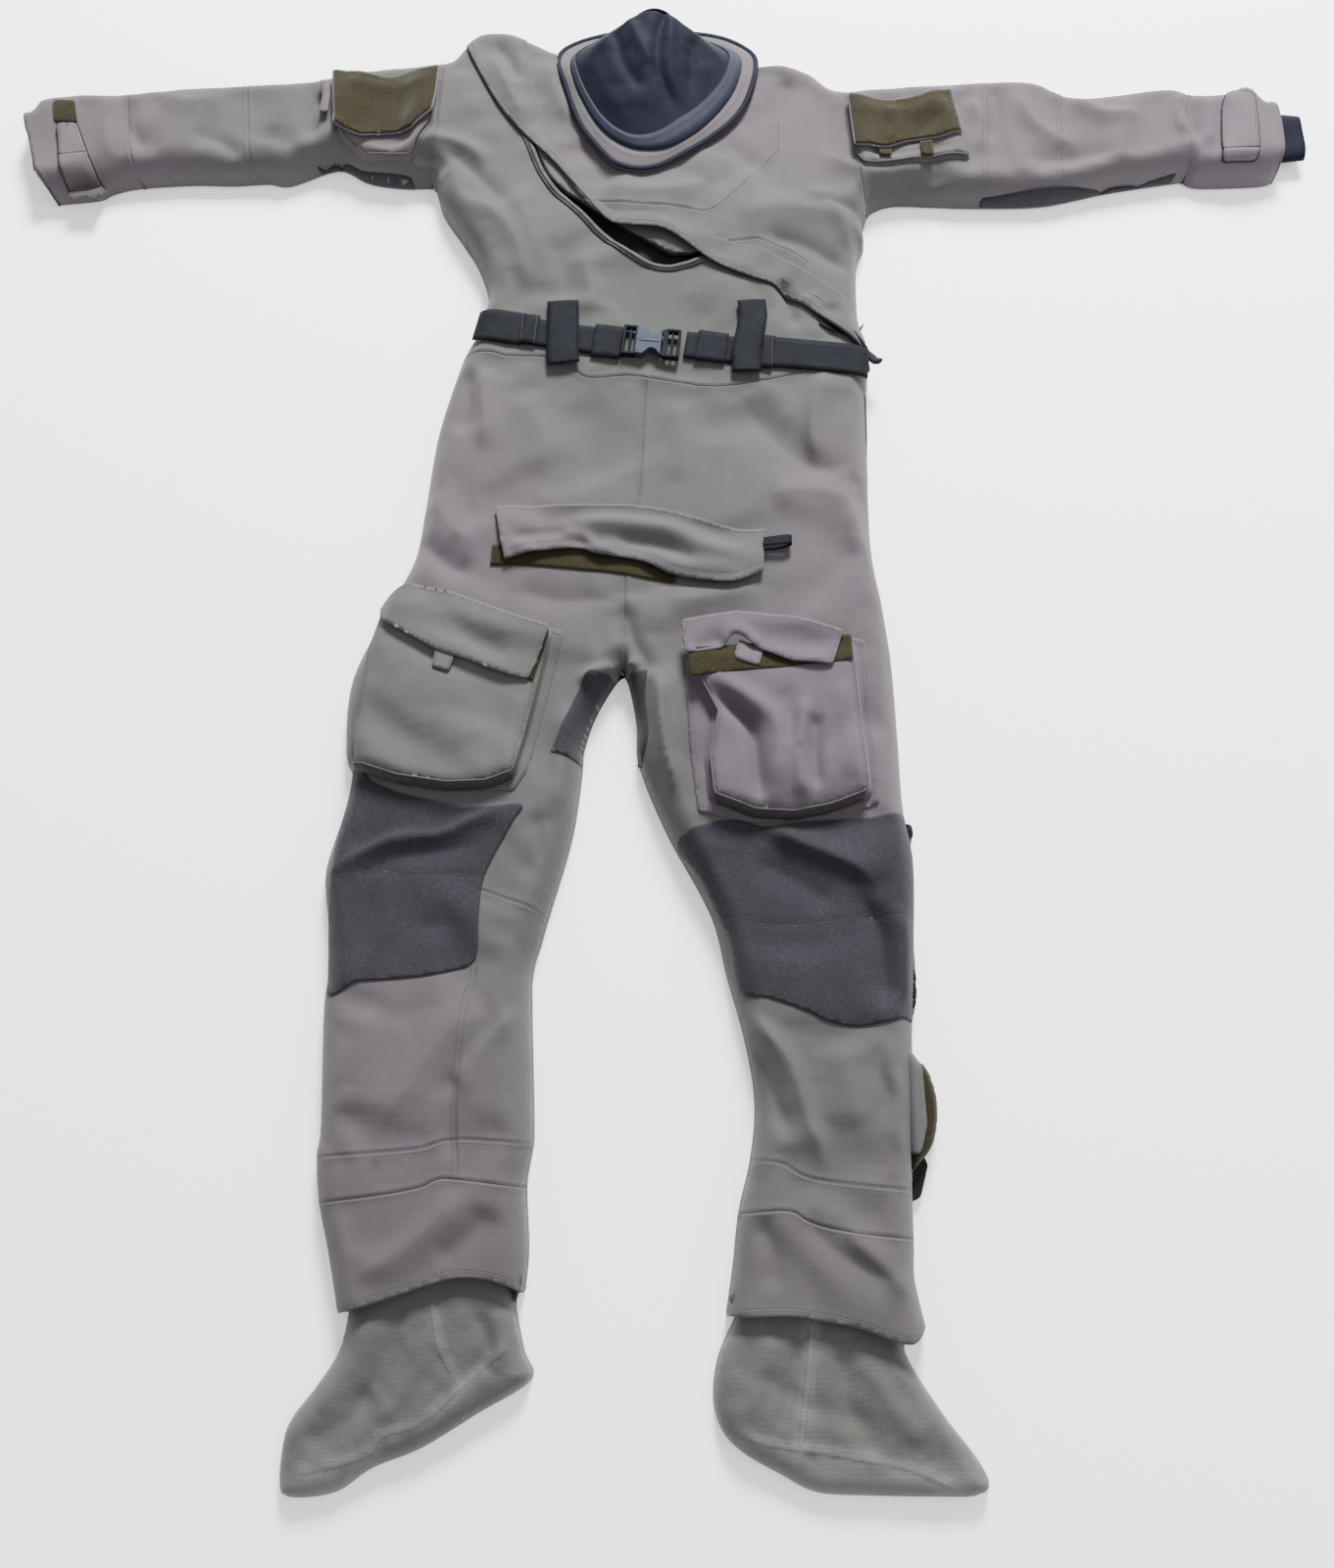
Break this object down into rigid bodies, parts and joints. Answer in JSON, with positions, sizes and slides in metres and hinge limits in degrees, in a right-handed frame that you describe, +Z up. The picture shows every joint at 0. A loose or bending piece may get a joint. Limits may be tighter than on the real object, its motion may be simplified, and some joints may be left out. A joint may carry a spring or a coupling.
{
  "type": "drysuit",
  "caption": "Front-entry drysuit laid flat on its back, with neck and wrist seals, entry and relief zips, waist belt, pockets and sewn-in socks.",
  "frame": {"origin": "on the surface the suit lies on, under the middle of its box", "axes": "+X to the wearer's left, +Y to the head, +Z up out of the chest"},
  "size_m": [1.734, 1.8396, 0.117],
  "materials": {
    "shell_cloth": "fine plain-weave coated nylon laminate, matt, grey-green fading to grey",
    "faded_cloth": "the same laminate, sun-faded towards pink-grey",
    "pocket_cloth": "the same laminate, less faded",
    "patch_cloth": "heavy textured abrasion cloth, dark blue-grey",
    "neoprene": "dark navy neoprene, smooth, slightly satin",
    "webbing": "woven nylon webbing, near-black navy, with lighter edges",
    "loop_cloth": "olive brushed loop cloth",
    "black_tape": "black coated tape and binding",
    "zip_metal": "worn zip metal",
    "buckle_plastic": "moulded plastic, blue-grey black",
    "mesh_cloth": "open drainage mesh"
  },
  "bodies": {
    "suit": {"belt_band_left": "webbing", "belt_band_right": "webbing", "belt_loop_left": "webbing", "belt_loop_right": "webbing", "belt_strap_right": "webbing", "buckle_female": "buckle_plastic", "calf_pocket": "pocket_cloth", "collar_band": "faded_cloth", "collar_binding": "black_tape", "jacket_back": "shell_cloth", "jacket_front_lower": "shell_cloth", "jacket_front_upper": "faded_cloth", "left_cuff": "faded_cloth", "left_elbow_panel": "patch_cloth", "left_gaiter": "shell_cloth", "left_knee_patch": "patch_cloth", "left_leg_back": "shell_cloth", "left_sleeve_back": "shell_cloth", "left_sleeve_front": "faded_cloth", "left_sleeve_pocket_bag": "pocket_cloth", "left_sock": "pocket_cloth", "left_thigh_pocket_bag": "pocket_cloth", "left_thigh_pocket_drain": "mesh_cloth", "left_trouser_front": "shell_cloth", "left_wrist_seal": "neoprene", "neck_seal": "neoprene", "relief_hook_strip": "loop_cloth", "relief_zip_tape": "black_tape", "right_cuff": "faded_cloth", "right_cuff_loop_patch": "loop_cloth", "right_elbow_panel": "patch_cloth", "right_gaiter": "shell_cloth", "right_knee_patch": "patch_cloth", "right_leg_back": "shell_cloth", "right_sleeve_back": "shell_cloth", "right_sleeve_front": "faded_cloth", "right_sleeve_pocket_bag": "pocket_cloth", "right_sock": "pocket_cloth", "right_thigh_pocket_bag": "pocket_cloth", "right_thigh_pocket_drain": "mesh_cloth", "right_trouser_front": "shell_cloth", "right_wrist_seal": "neoprene", "seat_panel": "patch_cloth", "zip_cover_flap": "faded_cloth", "zip_tape_lower": "black_tape", "zip_tape_upper": "black_tape"},
    "zip_slider": {"zip_slider": "zip_metal"},
    "zip_puller": {"zip_puller": "black_tape"},
    "relief_flap": {"relief_flap": "shell_cloth"},
    "relief_slider": {"relief_slider": "zip_metal", "relief_pull_loop": "webbing"},
    "buckle_male": {"buckle_male": "buckle_plastic", "belt_strap_left": "webbing"},
    "right_thigh_pocket_flap": {"right_thigh_pocket_flap": "pocket_cloth"},
    "left_thigh_pocket_flap": {"left_thigh_pocket_flap": "pocket_cloth"},
    "right_sleeve_pocket_flap": {"right_sleeve_pocket_flap": "loop_cloth"},
    "left_sleeve_pocket_flap": {"left_sleeve_pocket_flap": "loop_cloth"},
    "right_cuff_tab": {"right_cuff_tab": "faded_cloth"},
    "left_cuff_tab": {"left_cuff_tab": "faded_cloth"}
  },
  "joints": [
    {"name": "entry_zip", "type": "slide", "parent": "suit", "child": "zip_slider", "axis": [-0.8575, 0.5145, 0], "range_m": [0, 0.14]},
    {"name": "entry_zip_puller", "type": "hinge", "parent": "zip_slider", "child": "zip_puller", "pos_m": [0.22457, 0.40756, 0.0523], "axis": [0.5145, 0.8575, 0], "range_deg": [0, 90]},
    {"name": "relief_flap_lift", "type": "hinge", "parent": "suit", "child": "relief_flap", "pos_m": [-0.042, 0.1415, 0.0541], "axis": [-0.9942, 0.1078, 0], "range_deg": [0, 165]},
    {"name": "relief_zip", "type": "slide", "parent": "suit", "child": "relief_slider", "axis": [-0.9942, 0.1078, 0], "range_m": [0, 0.22]},
    {"name": "belt_buckle", "type": "slide", "parent": "suit", "child": "buckle_male", "axis": [0.9942, -0.1078, 0], "range_m": [0, 0.03]},
    {"name": "right_thigh_flap_lift", "type": "hinge", "parent": "suit", "child": "right_thigh_pocket_flap", "pos_m": [-0.234, 0.0165, 0.0731], "axis": [-0.9872, 0.1593, 0], "range_deg": [0, 165]},
    {"name": "left_thigh_flap_lift", "type": "hinge", "parent": "suit", "child": "left_thigh_pocket_flap", "pos_m": [0.118, -0.0035, 0.0731], "axis": [-0.9982, -0.06, 0], "range_deg": [0, 165]},
    {"name": "right_sleeve_flap_lift", "type": "hinge", "parent": "suit", "child": "right_sleeve_pocket_flap", "pos_m": [-0.3805, 0.8265, 0.0591], "axis": [-1, 0, 0], "range_deg": [0, 165]},
    {"name": "left_sleeve_flap_lift", "type": "hinge", "parent": "suit", "child": "left_sleeve_pocket_flap", "pos_m": [0.3285, 0.7835, 0.0591], "axis": [-1, 0, 0], "range_deg": [0, 165]},
    {"name": "right_cuff_tab_lift", "type": "hinge", "parent": "suit", "child": "right_cuff_tab", "pos_m": [-0.817, 0.69, 0.0483], "axis": [1, 0, 0], "range_deg": [0, 150]},
    {"name": "left_cuff_tab_lift", "type": "hinge", "parent": "suit", "child": "left_cuff_tab", "pos_m": [0.765, 0.69908, 0.0468], "axis": [1, 0, 0], "range_deg": [0, 150]}
  ]
}
